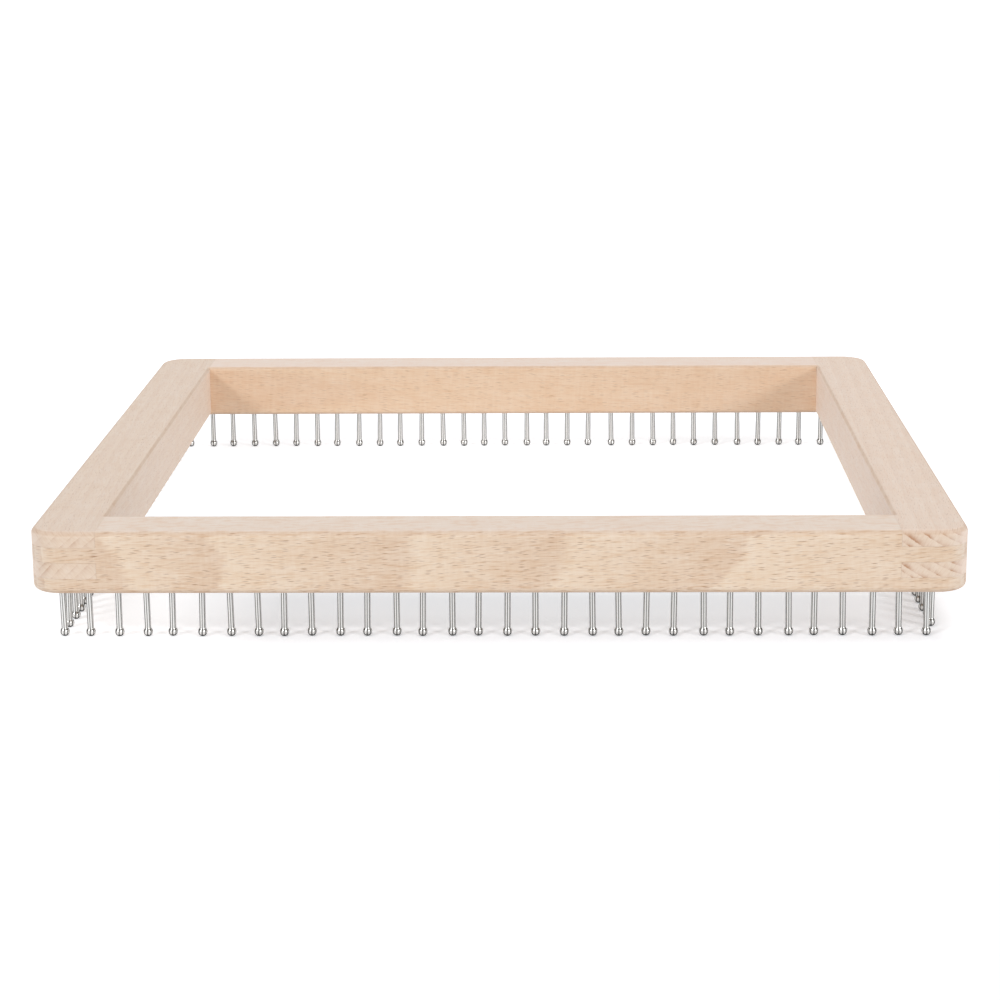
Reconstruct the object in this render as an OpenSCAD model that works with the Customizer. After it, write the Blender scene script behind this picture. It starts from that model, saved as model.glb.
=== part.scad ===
// Square knitting loom: four beech rails, finger jointed at the corners, with a row of ball-tipped
// steel pins driven into each. It stands on the balls of its pins, with the rails on top.
// Lengths are in millimetres, +Z is up, and the origin is the middle of the plane under the balls.

/* [Pins] */
// Pins along the front and rear rails, with the corner pins
pins_per_side = 32; // [16:1:48]
// Spacing of the pins along a rail
pin_pitch = 9; // [6:0.25:14]
// Distance from a rail's end to its corner pin
corner_inset = 10.5; // [8:0.5:16]
// Distance from a rail's outer face to its row of pins
row_inset = 9.2; // [7:0.1:14]
// Diameter of a pin's shank
pin_d = 2; // [1.5:0.1:2.8]
// Diameter of the ball at a pin's free end
ball_d = 3; // [2.4:0.1:4.5]
// Radius of the flare from the shank to the ball
neck_r = 1; // [0.4:0.1:2]
// Free length of a pin, from the rail's underside to the tip of its ball
pin_out = 16.5; // [10:0.5:25]
// Length of a pin that is buried in the rail
pin_in = 12; // [6:0.5:16]
// Bevel round a pin's buried end
pin_bevel = 0.3; // [0.1:0.1:0.6]

/* [Rails] */
// Width of a rail, seen from above
rail_w = 22; // [18:0.5:35]
// Thickness of a rail, along the pins
rail_t = 20.5; // [16:0.5:32]
// Fingers in a corner joint, those of both rails counted
fingers = 4; // [3:1:6]
// Radius of the frame's outer corners, seen from above
corner_r = 10; // [4:0.5:12]
// Radius of the eased outer edges
outer_ease = 2; // [0.5:0.1:3]
// Radius of the eased edges round the weaving window
inner_ease = 1.5; // [0.5:0.1:3]

/* [Fits] */
// Glue line between the fingers and at the shoulders of two rails
glue_line = 0.04; // [0.02:0.02:0.3]
// Radial clearance of a pin in its hole
pin_fit = 0.02; // [0.01:0.01:0.1]
// Straight hole left past a pin's buried end
hole_spare = 0.5; // [0.1:0.1:2]
// Point angle of the drill
drill_angle = 118; // [90:1:140]
// Width of the chisel edge at the drill's point
chisel_w = 0.3; // [0.2:0.1:0.6]

/* [Hand drilling] */
// Shift of the front row towards the right-hand end of its rail, seen from the front
front_row_shift = -1.5; // [-2:0.1:2]
// Shift of the rear row towards the right-hand end of its rail, seen from the rear
rear_row_shift = -1; // [-2:0.1:2]
// Most that a hole strays along its row
hole_stray = 0.4; // [0:0.1:1]
// Most that a pin leans along its row and across it, in degrees
pin_lean = 0.9; // [0:0.1:3]

/* [Hidden] */
$fn = 64;
// Colours of the sanded beech and of the polished pins
BEECH = [0.89, 0.81, 0.72];
STEEL = [0.74, 0.74, 0.74];
// Sides in order round the frame, a quarter turn apart; a side's rail lies along X at turn 0
SIDES = ["front", "right", "rear", "left"];
row_shift = [front_row_shift, 0, rear_row_shift, 0];
// Each row of pins is listed as this many runs
RUNS = 8;

// How far a cutter reaches past the surface that it cuts
over = 1;
frame_w = (pins_per_side - 1) * pin_pitch + 2 * corner_inset;
half_w = frame_w / 2;
window_half = half_w - rail_w;
top_z = pin_out + rail_t;
finger_h = rail_t / fingers;
arc_centre = half_w - corner_r;
pin_r = pin_d / 2;
ball_r = ball_d / 2;
bore_r = pin_r + pin_fit;
chisel_r = chisel_w / 2;
drill_point = (bore_r - chisel_r) / tan(drill_angle / 2);
// Height of the flare's centre over the ball's, where the flare is tangent to ball and shank
neck_rise = sqrt(pow(ball_r + neck_r, 2) - pow(pin_r + neck_r, 2));

// The front and rear rows close the corners, so the side rows leave out their first and last pin
function first_pin(side) = side % 2;
function last_pin(side) = pins_per_side - 1 - side % 2;
// A repeatable uneven number from -1 to 1 for one pin
function uneven(side, pin, step) = sin(step * (pin + 1) * (pin + 3 + 5 * side));
function pin_along(side, pin) =
    -half_w + corner_inset + pin * pin_pitch + row_shift[side] + hole_stray * uneven(side, pin, 122);
// First pin of a run, with the row shared out evenly among its runs
function run_start(side, run) =
    first_pin(side) + floor((run - 1) * (last_pin(side) - first_pin(side) + 1) / RUNS);

module at_side(side) {
    rotate([0, 0, 90 * side])
        children();
}

// Puts a child at a pin's hole in the rail's underside, with the pin's lean
module at_pin(side, pin) {
    at_side(side)
        translate([pin_along(side, pin), row_inset - half_w, pin_out])
            rotate([pin_lean * uneven(side, pin, 43), pin_lean * uneven(side, pin, 84), 0])
                children();
}

// Half outline of a pin on its axis, with height 0 at the rail's underside
module pin_outline() {
    ball_z = ball_r - pin_out;
    neck_z = ball_z + neck_rise;
    polygon([
        [0, ball_z],
        [pin_r, ball_z],
        [pin_r, pin_in - pin_bevel],
        [pin_r - pin_bevel, pin_in],
        [0, pin_in]
    ]);
    intersection() {
        translate([0, ball_z])
            circle(r = ball_r);
        translate([0, -pin_out])
            square([ball_r, ball_d]);
    }
    difference() {
        polygon([[0, ball_z], [pin_r + neck_r, neck_z], [0, neck_z]]);
        translate([pin_r + neck_r, neck_z])
            circle(r = neck_r);
    }
}

module pin() {
    rotate_extrude()
        pin_outline();
}

// Blind hole, with the cone that the drill's point leaves
module pin_hole() {
    depth = pin_in + hole_spare;
    rotate_extrude()
        polygon([
            [0, -over],
            [bore_r, -over],
            [bore_r, depth],
            [chisel_r, depth + drill_point],
            [0, depth + drill_point]
        ]);
}

// Section of the waste off an eased edge: the corner is at the origin, the wood is at +X and -Y
module edge_waste(ease) {
    difference() {
        translate([-over, -ease])
            square(ease + over);
        translate([ease, -ease])
            circle(r = ease);
    }
}

// Waste along a straight eased edge in the X direction, with the wood at +Y and -Z
module edge_cutter(length, ease) {
    translate([-length / 2, 0, 0])
        rotate([90, 0, 90])
            linear_extrude(length)
                edge_waste(ease);
}

// Children at the top edge, and again upside down at the bottom edge
module at_both_faces() {
    translate([0, 0, top_z])
        children();
    translate([0, 0, pin_out])
        mirror([0, 0, 1])
            children();
}

// Waste outside a rounded corner of the frame, with its eased edges, swept round the corner's arc
module outer_corner_cutter() {
    translate([arc_centre, -arc_centre, 0])
        rotate([0, 0, -90])
            rotate_extrude(angle = 90)
                difference() {
                    translate([corner_r - outer_ease, pin_out - over])
                        square([corner_r, rail_t + 2 * over]);
                    translate([corner_r - 2 * outer_ease, pin_out + outer_ease])
                        square([2 * outer_ease, rail_t - 2 * outer_ease]);
                    for (z = [pin_out + outer_ease, top_z - outer_ease])
                        translate([corner_r - outer_ease, z])
                            circle(r = outer_ease);
                }
}

// Waste at an inner corner of the window, where two eased edges meet in a mitre
module inner_corner_cutter() {
    translate([window_half, -window_half, 0])
        intersection() {
            translate([inner_ease / 2, 0, 0])
                mirror([0, 1, 0])
                    edge_cutter(inner_ease, inner_ease);
            translate([0, -inner_ease / 2, 0])
                rotate([0, 0, -90])
                    edge_cutter(inner_ease, inner_ease);
        }
}

// What sanding takes off one rail of the glued frame: its own edges, the two corners that its
// fingers reach, and the ends of those fingers along the neighbouring sides
module sanding(rail_side) {
    at_side(rail_side) {
        at_both_faces() {
            translate([0, -half_w, 0])
                edge_cutter(2 * arc_centre, outer_ease);
            translate([0, -window_half, 0])
                mirror([0, 1, 0])
                    edge_cutter(2 * window_half, inner_ease);
        }
        for (end = [0, 1])
            mirror([end, 0, 0]) {
                outer_corner_cutter();
                at_both_faces() {
                    inner_corner_cutter();
                    translate([half_w, -(arc_centre + window_half) / 2, 0])
                        rotate([0, 0, 90])
                            edge_cutter(arc_centre - window_half, outer_ease);
                }
            }
    }
}

// Holes of a rail's own row, and those of its neighbours' pins that pass through its fingers
module pin_holes(rail_side) {
    for (side = [0:3])
        for (pin = [first_pin(side):last_pin(side)])
            if (side == rail_side || abs(pin_along(side, pin)) > window_half - pin_d)
                at_pin(side, pin)
                    pin_hole();
}

// A straight bar with the other rail's fingers notched out of both ends, counted from the top
module finger_jointed_bar(first_notch) {
    notch_l = rail_w + glue_line;
    difference() {
        translate([-half_w, -half_w, pin_out])
            cube([frame_w, rail_w, rail_t]);
        for (notch = [first_notch:2:fingers - 1]) {
            notch_top = notch == 0 ? over : glue_line / 2;
            notch_bottom = notch == fingers - 1 ? over : glue_line / 2;
            for (end = [-half_w - over, half_w - notch_l])
                translate([end, -half_w - over, top_z - (notch + 1) * finger_h - notch_bottom])
                    cube([notch_l + over, rail_w + 2 * over, finger_h + notch_top + notch_bottom]);
        }
    }
}

// Rails of neighbouring sides take turns at the fingers; the left and right rails have the top one
module rail(side) {
    color(BEECH)
        difference() {
            at_side(side)
                finger_jointed_bar(side % 2);
            sanding(side);
            pin_holes(side);
        }
}

// One run of neighbouring pins in a side's row
module pin_run(side, run) {
    color(STEEL)
        for (pin = [run_start(side, run):run_start(side, run + 1) - 1])
            at_pin(side, pin)
                pin();
}

for (side = [0:3]) {
    rail(side);
    for (run = [1:RUNS])
        pin_run(side, run);
}
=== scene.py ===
"""Looks of a square knitting loom: four finger-jointed beech rails and their rows of steel pins."""

import math

import bmesh
import bpy
from mathutils import Euler, Matrix, Vector


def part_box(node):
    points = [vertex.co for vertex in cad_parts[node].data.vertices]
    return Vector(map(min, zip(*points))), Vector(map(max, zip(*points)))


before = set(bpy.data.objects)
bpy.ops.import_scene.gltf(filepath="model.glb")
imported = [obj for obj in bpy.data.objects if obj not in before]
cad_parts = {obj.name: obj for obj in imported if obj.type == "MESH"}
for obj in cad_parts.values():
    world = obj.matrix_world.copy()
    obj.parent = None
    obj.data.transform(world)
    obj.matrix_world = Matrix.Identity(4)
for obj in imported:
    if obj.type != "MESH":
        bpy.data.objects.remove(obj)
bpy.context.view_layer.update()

# Units: the scene is in metres, and the sizes below are in millimetres
MM = 0.001
PER_MM = 1000

WHITE = (1, 1, 1, 1)
BLACK = (0, 0, 0, 1)

# Camera: its place and turn in the loom's frame, fitted to the photograph, and how far it sees
CAMERA_AT = Vector((20.09, -936.43, 240.73)) * MM
CAMERA_PITCH = math.radians(13.811)
CAMERA_YAW = math.radians(-1.385)
CAMERA_ROLL = math.radians(0.461)
FOCAL_LENGTH = 92.42
SENSOR_WIDTH = 36
CAMERA_REACH = 50000

# Light: the share of full daylight that a white tent gives, and soft boxes by their bearing right of
# the camera, height and spread in degrees, and the share that each gives a surface that faces it
TENT_LEVEL = 0.5
SOFT_BOXES = {
    "left_soft_box": (-45, 32, 14, 0.28),
    "right_soft_box": (50, 22, 14, 0.29),
    "top_soft_box": (0, 80, 20, 0.08),
}

# Floor: half its side, its tone, and the share of full white that it adds, to the camera and in
# reflections. It adds more behind the front rail, rising between two places along Y, or towards the
# sides, by stops of place along X and share, all within a reach of the middle.
FLOOR_HALF = 12000
FLOOR_TONE = "#f7faff"
FLOOR_GLOW = 0.24
BACK_GLOW = 0.26
BACK_GLOW_FROM = -85
BACK_GLOW_TO = 10
SIDE_GLOW = ((-112, 0.24), (-75, 0), (141, 0), (148, 0.2))
SIDE_GLOW_REACH = 200

# Growth rings: their widths from the pith outwards, in the board that the rails were sawn from, the
# width in which a ring's dark end turns to the pale start of the next, and the share of the figure
# that a quarter-sawn face keeps
RING_WIDTHS = (3, 1.85, 3.6, 2.9, 3.4, 7, 3.3, 2.2, 3, 3.6, 2.4, 2.9)
RING_EDGE = 0.07
QUARTER_FIGURE = 0.25

# End grain: the cosines of a surface's angle to the grain where it starts and where nothing else
# shows, its tones between the rings' dark ends and at them, and the power that narrows those ends.
# They fade and come back in places of a size, between two levels of noise and two shares of strength.
END_GRAIN_TURN = (0.6, 0.9)
END_GRAIN = "#e3ccb6"
END_RING = "#b98c6c"
END_RING_POWER = 3
FADE_SIZE = (8, 5, 3)
FADE_LEVELS = (0.35, 0.65)
FADE_SHARES = (0.2, 1.4)

# Waves of the grain, by their size and how far they swing, along the trunk, outwards and across:
# its slow sway, and the fraying of a ring's edge from fibre to fibre
GRAIN_WAVES = (
    ((60, 20, 20), (0, 0.3, 3)),
    ((8, 8, 0.6), (0, 0.4, 0)),
)
MIDDLE_OF_NOISE = (0.5, 0.5, 0.5)

# Fibres wind round the trunk a little, so they lie at a small angle to it
FIBRE_TURN = math.radians(-3)

# Streaks and marks, by their size along the trunk, outwards and across, the level of noise where they
# start, and their strength. They are full at the same level.
STREAKS = {
    "long_streaks": ((14, 2, 0.6), 0.3, 0.03),
    "flecks": ((5, 2, 0.36), 0.48, 0.09),
    "patches": ((12, 6, 5), 0.3, 0.03),
    "planer_marks": ((1, 8, 7), 0.3, 0.022),
}
STREAK_FULL = 0.7
# A darker streak is deeper in colour, not greyer, so the shade of the streaks works as a power, which
# falls from the first depth to the second between these shades
SHADES = (0.5, 1.5)
SHADE_DEPTHS = (2, 0)

# Rays: dashes 2 or 3 mm along the grain and 0.2 mm high, by the cell that holds one, how far from its
# point a dash starts to fade and is gone, the power by which some are faint, and their tone
RAY_CELL = (4.4, 12, 0.32)
RAY_DASH = (0.1, 0.34)
RAY_FAINT_POWER = 0.7
RAY_TONE = "#94633e"

# Tones of a quarter-sawn face, paler partly as quarter-sawn beech is and partly by painted sheen on the
# top faces, and of painted shade on an eased edge. The edge is known by its slope, a quarter at its
# middle and nought on a face: the slopes where the painted shade starts and is full, and how far it
# shows.
SILVER_AND_SHEEN_TONE = "#f8e5d8"
EDGE_SHADE_TONE = "#c6a486"
EDGE_SHADE_SLOPES = (0.05, 0.2)
EDGE_SHADE_SHARE = 0.45

# Surface of the sanded wood: matt, with shallow relief along the streaks and rays
WOOD_ROUGHNESS = 0.65
WOOD_SPECULAR = 0.6
RELIEF_STRENGTH = 0.25
RELIEF_DEPTH = 0.05

# How each rail lies in the tree. turn lays the trunk along X and the way out to the bark along Y;
# from_pith is where the rail's middle lies from the pith, outwards and across, and first_ring how far
# out the rings start. early and late are the tones across a ring, figure is how strongly it shows on
# a side face and end_rings on end grain, rays how strongly the rays and flecks do, and
# silver_and_sheen how far a quarter-sawn face is paler, partly as quarter-sawn beech is and partly by
# painted sheen on the top faces.
TIMBER = {
    "front_rail": {
        "turn": (0, 5.5, -3.4),
        "from_pith": (-260, -5.8),
        "first_ring": 261,
        "early": "#e6cdb2",
        "late": "#d9bb9f",
        "figure": 1,
        "end_rings": 0.5,
        "rays": 1,
        "silver_and_sheen": 0.6,
    },
    "rear_rail": {
        "turn": (0, 0.5, 0.6),
        "from_pith": (80, 0),
        "first_ring": 60,
        "early": "#e7c6a6",
        "late": "#e0bc9d",
        "figure": 0.6,
        "end_rings": 0.5,
        "rays": 0.55,
        "silver_and_sheen": 0.85,
    },
    "left_rail": {
        "turn": (0, -45, -90.8),
        "from_pith": (120, 0),
        "first_ring": 43,
        "early": "#edd8c5",
        "late": "#e4cbb8",
        "figure": 0.6,
        "end_rings": 0.42,
        "rays": 0.45,
        "silver_and_sheen": 0.2,
    },
    "right_rail": {
        "turn": (0, 60, -89.2),
        "from_pith": (120, 0),
        "first_ring": 43,
        "early": "#f3ddcb",
        "late": "#ead1be",
        "figure": 0.6,
        "end_rings": 1,
        "rays": 0.45,
        "silver_and_sheen": 0.2,
    },
}

# Steel wire: its tone, the tone of the painted dark reflections, eight lines down the wire and over the
# ball, and the tint that darkens its glancing edges. A line is known by a quarter of the sine of four
# times the turn round the pin, which is nought at every eighth of a turn: where the line starts to fade
# and is gone.
WIRE_TONE = "#e0dfdc"
PAINTED_REFLECTION_TONE = "#62615f"
WIRE_EDGE_TINT = "#202020"
PAINTED_REFLECTION_FADE = (0.05, 0.2)
# Scratches from tumbling, drawn coarser than the real ones so that they show: their size across the
# pin and along it, and the levels of their noise between which the roughness goes from low to high
SCRATCH_SIZE = (0.15, 0.15, 4)
SCRATCH_LEVELS = (0.3, 0.7)
WIRE_ROUGHNESS = (0.22, 0.36)


def colour(code):
    """Linear colour of an sRGB hex code."""
    channels = [int(code[i:i + 2], 16) / 255 for i in (1, 3, 5)]
    linear = [c / 12.92 if c <= 0.04045 else ((c + 0.055) / 1.055) ** 2.4 for c in channels]
    return (*linear, 1)


def add(tree, kind, inputs, **settings):
    """Adds a node. An input's value is a plain value, or the output of another node to link to it."""
    node = tree.nodes.new("ShaderNode" + kind)
    for name, value in settings.items():
        setattr(node, name, value)
    for name, value in inputs.items():
        if isinstance(value, bpy.types.NodeSocket):
            tree.links.new(value, node.inputs[name])
        else:
            node.inputs[name].default_value = value
    return node


def new_material(name):
    """An empty material and its node tree."""
    material = bpy.data.materials.new(name)
    material.use_nodes = True
    material.node_tree.nodes.clear()
    return material, material.node_tree


def shown(tree):
    """One for a ray that shows a surface, straight or by way of metal or glass, and nought for others."""
    ray = add(tree, "LightPath", {})
    seen = add(tree, "Math", {
        0: ray.outputs["Is Camera Ray"],
        1: ray.outputs["Is Glossy Ray"],
    }, operation="MAXIMUM")
    either = add(tree, "Math", {
        0: seen.outputs[0],
        1: ray.outputs["Is Transmission Ray"],
    }, operation="MAXIMUM")
    return either.outputs[0]


def wavy_grain(tree, trunk):
    """Places in the trunk, moved as the grain sways and frays."""
    grain = trunk
    for size, swing in GRAIN_WAVES:
        sized = add(tree, "VectorMath", {0: trunk, 1: size}, operation="DIVIDE")
        wave = add(tree, "TexNoise", {"Vector": sized.outputs[0], "Scale": 1, "Detail": 1})
        centred = add(tree, "VectorMath", {
            0: wave.outputs["Color"],
            1: MIDDLE_OF_NOISE,
        }, operation="SUBTRACT")
        moved = add(tree, "VectorMath", {0: centred.outputs[0], 1: swing}, operation="MULTIPLY")
        swayed = add(tree, "VectorMath", {0: grain, 1: moved.outputs[0]}, operation="ADD")
        grain = swayed.outputs[0]
    return grain


def growth_rings(tree, trunk, grain, end_grain, ray_on, timber):
    """Colour of the rings, by distance from the pith: a slow change of tone across each ring on a side
    face, and the ring's dark end on end grain."""
    across = add(tree, "VectorMath", {0: grain, 1: (0, 1, 1)}, operation="MULTIPLY")
    radius = add(tree, "VectorMath", {0: across.outputs[0]}, operation="LENGTH")
    counted = add(tree, "Math", {
        0: radius.outputs["Value"],
        1: timber["first_ring"],
    }, operation="SUBTRACT")
    rings_out = sum(RING_WIDTHS)
    ring_share = add(tree, "Math", {0: counted.outputs[0], 1: rings_out}, operation="DIVIDE")
    wrapped = add(tree, "Math", {0: ring_share.outputs[0]}, operation="FRACT")
    # A new ramp goes from black to white, and each ring but the last ends and starts anew between them
    ring_tone = add(tree, "ValToRGB", {"Fac": wrapped.outputs[0]})
    stops = ring_tone.color_ramp.elements
    ring_end = 0
    for width in RING_WIDTHS[:-1]:
        ring_end += width
        stops.new((ring_end - RING_EDGE) / rings_out).color = WHITE
        stops.new(ring_end / rings_out).color = BLACK

    figure = add(tree, "MapRange", {
        "Value": ray_on,
        "To Min": QUARTER_FIGURE * timber["figure"],
        "To Max": timber["figure"],
    })
    side_tone = add(tree, "Math", {
        0: ring_tone.outputs["Color"],
        1: figure.outputs["Result"],
    }, operation="MULTIPLY")
    side = add(tree, "Mix", {
        "Factor": side_tone.outputs[0],
        "A": colour(timber["early"]),
        "B": colour(timber["late"]),
    }, data_type="RGBA")

    dark_end = add(tree, "Math", {
        0: ring_tone.outputs["Color"],
        1: END_RING_POWER,
    }, operation="POWER")
    fade_size = add(tree, "VectorMath", {0: trunk, 1: FADE_SIZE}, operation="DIVIDE")
    fade = add(tree, "TexNoise", {"Vector": fade_size.outputs[0], "Scale": 1, "Detail": 1})
    faded = add(tree, "MapRange", {
        "Value": fade.outputs["Fac"],
        "From Min": FADE_LEVELS[0],
        "From Max": FADE_LEVELS[1],
        "To Min": FADE_SHARES[0] * timber["end_rings"],
        "To Max": FADE_SHARES[1] * timber["end_rings"],
    })
    end_tone = add(tree, "Math", {
        0: dark_end.outputs[0],
        1: faded.outputs["Result"],
    }, operation="MULTIPLY")
    end = add(tree, "Mix", {
        "Factor": end_tone.outputs[0],
        "A": colour(END_GRAIN),
        "B": colour(END_RING),
    }, data_type="RGBA")

    rings = add(tree, "Mix", {
        "Factor": end_grain,
        "A": side.outputs["Result"],
        "B": end.outputs["Result"],
    }, data_type="RGBA")
    return rings.outputs["Result"]


def streak_shade(tree, fibre, rays):
    """Shade of the streaks, flecks, patches and planer's marks together, about one on the whole."""
    shade = 1
    for name, (size, start, strength) in STREAKS.items():
        swing = strength * rays if name == "flecks" else strength
        sized = add(tree, "VectorMath", {0: fibre, 1: size}, operation="DIVIDE")
        streak = add(tree, "TexNoise", {"Vector": sized.outputs[0], "Scale": 1, "Detail": 2})
        layer = add(tree, "MapRange", {
            "Value": streak.outputs["Fac"],
            "From Min": start,
            "From Max": STREAK_FULL,
            "To Min": 1 + swing,
            "To Max": 1 - swing,
        })
        shaded = add(tree, "Math", {0: shade, 1: layer.outputs["Result"]}, operation="MULTIPLY")
        shade = shaded.outputs[0]
    return shade


def ray_dashes(tree, fibre, ray_on, rays):
    """How far a place is in the dash of a ray, which shows where the surface looks along the rays."""
    sized = add(tree, "VectorMath", {0: fibre, 1: RAY_CELL}, operation="DIVIDE")
    cell = add(tree, "TexVoronoi", {"Vector": sized.outputs[0], "Scale": 1})
    dash = add(tree, "MapRange", {
        "Value": cell.outputs["Distance"],
        "From Min": RAY_DASH[0],
        "From Max": RAY_DASH[1],
        "To Min": rays,
        "To Max": 0,
    }, interpolation_type="SMOOTHSTEP")
    lot = add(tree, "SeparateXYZ", {"Vector": cell.outputs["Color"]})
    faint = add(tree, "Math", {0: lot.outputs["X"], 1: RAY_FAINT_POWER}, operation="POWER")
    turned = add(tree, "Math", {0: faint.outputs[0], 1: ray_on}, operation="MULTIPLY")
    dashes = add(tree, "Math", {0: dash.outputs["Result"], 1: turned.outputs[0]}, operation="MULTIPLY")
    return dashes.outputs[0]


def sanded_beech(rail, timber):
    """Beech, planed, glued up and sanded, with no finish: pale and matt, with growth rings that
    darken outwards and end at a crisp edge, and the short dark dashes of its rays."""
    material, tree = new_material("beech, sanded, " + rail)
    low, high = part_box(rail)
    turn = Euler([math.radians(angle) for angle in timber["turn"]]).to_matrix()
    along = turn.inverted() @ Vector((1, 0, 0))
    outwards = turn.inverted() @ Vector((0, 1, 0))
    middle = turn @ ((low + high) / 2 * PER_MM)
    place = add(tree, "TexCoord", {})
    trunk = add(tree, "Mapping", {
        "Vector": place.outputs["Object"],
        "Location": Vector((0, *timber["from_pith"])) - middle,
        "Rotation": turn.to_euler(),
        "Scale": (PER_MM, PER_MM, PER_MM),
    })

    # How far a surface shows end grain, and how far it looks along the rays
    end_turn = add(tree, "VectorMath", {0: place.outputs["Normal"], 1: along}, operation="DOT_PRODUCT")
    end_on = add(tree, "Math", {0: end_turn.outputs["Value"]}, operation="ABSOLUTE")
    end_grain = add(tree, "MapRange", {
        "Value": end_on.outputs[0],
        "From Min": END_GRAIN_TURN[0],
        "From Max": END_GRAIN_TURN[1],
    })
    ray_turn = add(tree, "VectorMath", {0: place.outputs["Normal"], 1: outwards}, operation="DOT_PRODUCT")
    ray_on = add(tree, "Math", {0: ray_turn.outputs["Value"]}, operation="ABSOLUTE")

    grain = wavy_grain(tree, trunk.outputs[0])
    fibre = add(tree, "Mapping", {"Vector": grain, "Rotation": (0, FIBRE_TURN, 0)})
    rings = growth_rings(
        tree, trunk.outputs[0], grain, end_grain.outputs["Result"], ray_on.outputs[0], timber)
    shade = streak_shade(tree, fibre.outputs[0], timber["rays"])
    dashes = ray_dashes(tree, fibre.outputs[0], ray_on.outputs[0], timber["rays"])

    # A quarter-sawn face is paler: partly its own tone, partly painted sheen on the top faces
    quarter_sawn_and_sheen = add(tree, "MapRange", {
        "Value": ray_on.outputs[0],
        "To Min": timber["silver_and_sheen"],
        "To Max": 0,
    })
    on_side = add(tree, "Math", {0: 1, 1: end_grain.outputs["Result"]}, operation="SUBTRACT")
    silver_and_sheen = add(tree, "Math", {
        0: quarter_sawn_and_sheen.outputs["Result"],
        1: on_side.outputs[0],
    }, operation="MULTIPLY")
    sheened_face = add(tree, "Mix", {
        "Factor": silver_and_sheen.outputs[0],
        "A": rings,
        "B": colour(SILVER_AND_SHEEN_TONE),
    }, data_type="RGBA")

    # Painted shade: an eased edge, sloping between the top and a side, is darker
    facing = add(tree, "SeparateXYZ", {"Vector": place.outputs["Normal"]})
    level = add(tree, "Math", {0: facing.outputs["Z"], 1: facing.outputs["Z"]}, operation="MULTIPLY")
    upright = add(tree, "Math", {0: 1, 1: level.outputs[0]}, operation="SUBTRACT")
    slope = add(tree, "Math", {0: level.outputs[0], 1: upright.outputs[0]}, operation="MULTIPLY")
    edge_shade = add(tree, "MapRange", {
        "Value": slope.outputs[0],
        "From Min": EDGE_SHADE_SLOPES[0],
        "From Max": EDGE_SHADE_SLOPES[1],
        "To Max": EDGE_SHADE_SHARE,
    })
    edge_shaded = add(tree, "Mix", {
        "Factor": edge_shade.outputs["Result"],
        "A": sheened_face.outputs["Result"],
        "B": colour(EDGE_SHADE_TONE),
    }, data_type="RGBA")

    depth = add(tree, "MapRange", {
        "Value": shade,
        "From Min": SHADES[0],
        "From Max": SHADES[1],
        "To Min": SHADE_DEPTHS[0],
        "To Max": SHADE_DEPTHS[1],
    })
    streaked = add(tree, "Gamma", {"Color": edge_shaded.outputs["Result"], "Gamma": depth.outputs["Result"]})
    rayed = add(tree, "Mix", {
        "Factor": dashes,
        "A": streaked.outputs[0],
        "B": colour(RAY_TONE),
    }, data_type="RGBA")
    relief = add(tree, "Math", {0: shade, 1: dashes}, operation="SUBTRACT")
    bump = add(tree, "Bump", {
        "Height": relief.outputs[0],
        "Strength": RELIEF_STRENGTH,
        "Distance": RELIEF_DEPTH * MM,
    })
    wood = add(tree, "BsdfPrincipled", {
        "Base Color": rayed.outputs["Result"],
        "Roughness": WOOD_ROUGHNESS,
        "Specular IOR Level": WOOD_SPECULAR,
        "Normal": bump.outputs["Normal"],
    })
    add(tree, "OutputMaterial", {"Surface": wood.outputs[0]})
    return material


def drawn_steel():
    """Stainless wire, drawn, headed and tumbled bright: soft reflections, broken by fine scratches and by
    eight darker lines down the wire and over the ball, which are painted dark reflections."""
    material, tree = new_material("stainless steel, drawn and tumbled")
    place = add(tree, "TexCoord", {})
    facing = add(tree, "SeparateXYZ", {"Vector": place.outputs["Normal"]})
    # A quarter of the sine of four times the turn, from the parts of the normal along X and Y
    product = add(tree, "Math", {0: facing.outputs["X"], 1: facing.outputs["Y"]}, operation="MULTIPLY")
    across = add(tree, "Math", {0: facing.outputs["X"], 1: facing.outputs["X"]}, operation="MULTIPLY")
    away = add(tree, "Math", {0: facing.outputs["Y"], 1: facing.outputs["Y"]}, operation="MULTIPLY")
    lead = add(tree, "Math", {0: across.outputs[0], 1: away.outputs[0]}, operation="SUBTRACT")
    sine = add(tree, "Math", {0: product.outputs[0], 1: lead.outputs[0]}, operation="MULTIPLY")
    off_reflection_line = add(tree, "Math", {0: sine.outputs[0]}, operation="ABSOLUTE")
    # Painted dark reflections: lines at every eighth of a turn round the pin, and round the ball's top
    # and bottom
    reflection_line = add(tree, "MapRange", {
        "Value": off_reflection_line.outputs[0],
        "From Min": PAINTED_REFLECTION_FADE[0],
        "From Max": PAINTED_REFLECTION_FADE[1],
    }, interpolation_type="SMOOTHSTEP")
    wire_and_reflection_tone = add(tree, "Mix", {
        "Factor": reflection_line.outputs["Result"],
        "A": colour(PAINTED_REFLECTION_TONE),
        "B": colour(WIRE_TONE),
    }, data_type="RGBA")
    scratch_size = add(tree, "Mapping", {
        "Vector": place.outputs["Object"],
        "Scale": tuple(PER_MM / size for size in SCRATCH_SIZE),
    })
    scratch = add(tree, "TexNoise", {"Vector": scratch_size.outputs[0], "Scale": 1, "Detail": 2})
    polish = add(tree, "MapRange", {
        "Value": scratch.outputs["Fac"],
        "From Min": SCRATCH_LEVELS[0],
        "From Max": SCRATCH_LEVELS[1],
        "To Min": WIRE_ROUGHNESS[0],
        "To Max": WIRE_ROUGHNESS[1],
    })
    wire = add(tree, "BsdfPrincipled", {
        "Base Color": wire_and_reflection_tone.outputs["Result"],
        "Metallic": 1,
        "Roughness": polish.outputs["Result"],
        "Specular Tint": colour(WIRE_EDGE_TINT),
    })
    add(tree, "OutputMaterial", {"Surface": wire.outputs[0]})
    return material


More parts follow.
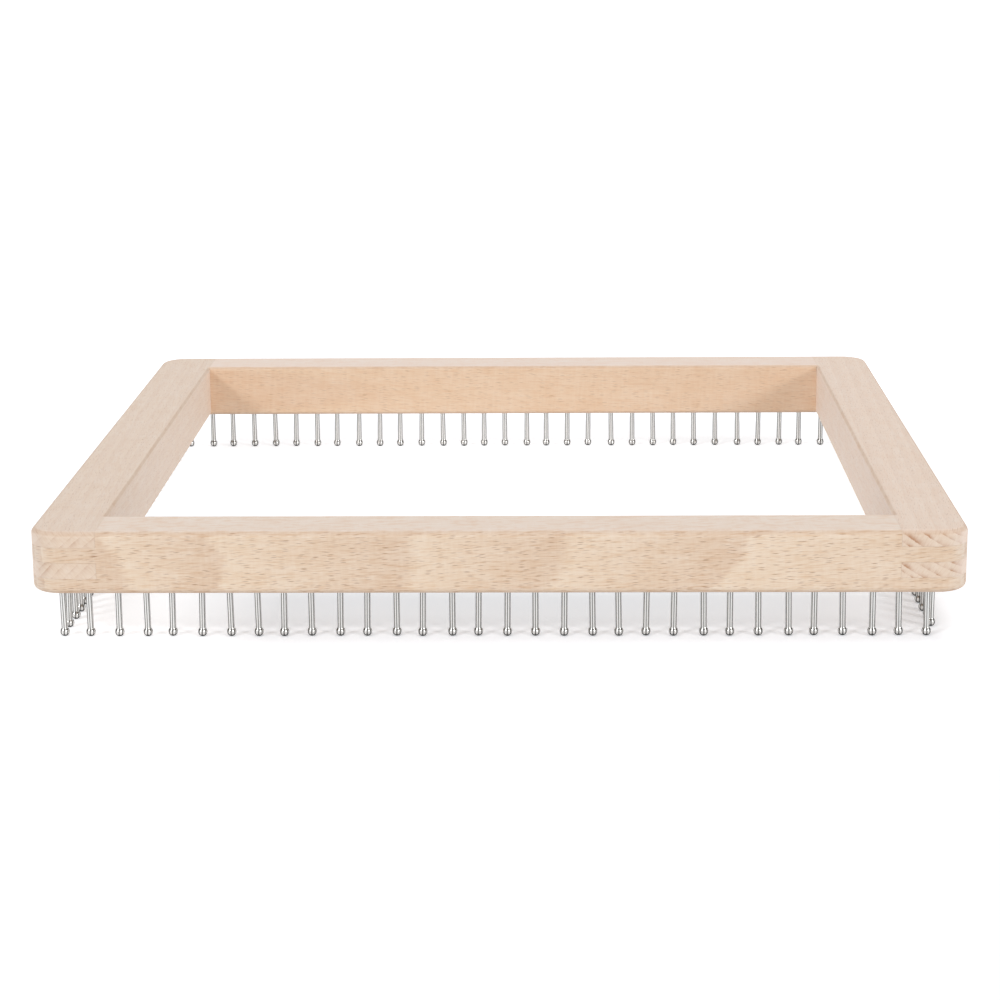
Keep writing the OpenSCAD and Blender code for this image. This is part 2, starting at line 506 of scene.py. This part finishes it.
def matt_white_board():
    """Matt white board that glows a little, more towards the back and the sides, so that it shows white
    with the loom's shadow kept."""
    material, tree = new_material("matt white board")
    lit = add(tree, "BsdfDiffuse", {"Color": colour(FLOOR_TONE)})
    place = add(tree, "TexCoord", {})
    spot = add(tree, "SeparateXYZ", {"Vector": place.outputs["Object"]})
    back = add(tree, "MapRange", {
        "Value": spot.outputs["Y"],
        "From Min": BACK_GLOW_FROM * MM,
        "From Max": BACK_GLOW_TO * MM,
        "To Max": BACK_GLOW,
    })
    along = add(tree, "MapRange", {
        "Value": spot.outputs["X"],
        "From Min": -SIDE_GLOW_REACH * MM,
        "From Max": SIDE_GLOW_REACH * MM,
    })
    # A new ramp has two stops, which are moved, and the others are added
    sides = add(tree, "ValToRGB", {"Fac": along.outputs["Result"]})
    stops = sides.color_ramp.elements
    for number, (stop_x, stop_glow) in enumerate(SIDE_GLOW):
        position = 0.5 + stop_x / SIDE_GLOW_REACH / 2
        stop = stops[number] if number < len(stops) else stops.new(position)
        stop.position = position
        stop.color = (stop_glow, stop_glow, stop_glow, 1)
    stronger = add(tree, "Math", {
        0: back.outputs["Result"],
        1: sides.outputs["Color"],
    }, operation="MAXIMUM")
    whole = add(tree, "Math", {0: stronger.outputs[0], 1: FLOOR_GLOW}, operation="ADD")
    level = add(tree, "Math", {0: shown(tree), 1: whole.outputs[0]}, operation="MULTIPLY")
    glow = add(tree, "Emission", {"Color": WHITE, "Strength": level.outputs[0]})
    surface = add(tree, "AddShader", {0: lit.outputs[0], 1: glow.outputs[0]})
    add(tree, "OutputMaterial", {"Surface": surface.outputs[0]})
    return material


def white_sweep():
    """A flat sheet of board under the loom, wide enough to fill the view."""
    board = bmesh.new()
    bmesh.ops.create_grid(board, x_segments=1, y_segments=1, size=FLOOR_HALF * MM)
    mesh = bpy.data.meshes.new("white_sweep")
    board.to_mesh(mesh)
    board.free()
    mesh.materials.append(matt_white_board())
    floor = bpy.data.objects.new("white_sweep", mesh)
    bpy.context.scene.collection.objects.link(floor)


def studio_light():
    """A white tent with a soft box at each side of the camera and one above."""
    world = bpy.data.worlds.new("white tent")
    bpy.context.scene.world = world
    world.use_nodes = True
    tree = world.node_tree
    tree.nodes.clear()
    level = add(tree, "MapRange", {"Value": shown(tree), "To Min": TENT_LEVEL, "To Max": 1})
    tent = add(tree, "Background", {"Color": WHITE, "Strength": level.outputs["Result"]})
    add(tree, "OutputWorld", {"Surface": tent.outputs[0]})

    for name, (bearing, height, spread, share) in SOFT_BOXES.items():
        lamp = bpy.data.lights.new(name, "SUN")
        lamp.angle = math.radians(spread)
        lamp.energy = share * math.pi
        holder = bpy.data.objects.new(name, lamp)
        holder.rotation_euler = (math.radians(90 - height), 0, math.radians(bearing))
        bpy.context.scene.collection.objects.link(holder)


def photographer():
    """The camera, at the photograph's viewpoint."""
    forward = Vector((
        math.sin(CAMERA_YAW) * math.cos(CAMERA_PITCH),
        math.cos(CAMERA_YAW) * math.cos(CAMERA_PITCH),
        -math.sin(CAMERA_PITCH),
    ))
    level_right = Vector((math.cos(CAMERA_YAW), -math.sin(CAMERA_YAW), 0))
    level_down = forward.cross(level_right)
    right = math.cos(CAMERA_ROLL) * level_right + math.sin(CAMERA_ROLL) * level_down
    down = math.cos(CAMERA_ROLL) * level_down - math.sin(CAMERA_ROLL) * level_right
    lens = bpy.data.cameras.new("camera")
    lens.lens = FOCAL_LENGTH
    lens.sensor_width = SENSOR_WIDTH
    lens.clip_end = CAMERA_REACH * MM
    camera = bpy.data.objects.new("camera", lens)
    turn = Matrix((right, -down, -forward)).transposed()
    camera.matrix_world = Matrix.Translation(CAMERA_AT) @ turn.to_4x4()
    bpy.context.scene.collection.objects.link(camera)
    bpy.context.scene.camera = camera


photographer()
white_sweep()
studio_light()

steel = drawn_steel()
for name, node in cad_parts.items():
    if name in TIMBER:
        node.material_slots[0].material = sanded_beech(name, TIMBER[name])
    else:
        node.material_slots[0].material = steel

bpy.context.scene.view_settings.view_transform = "Standard"
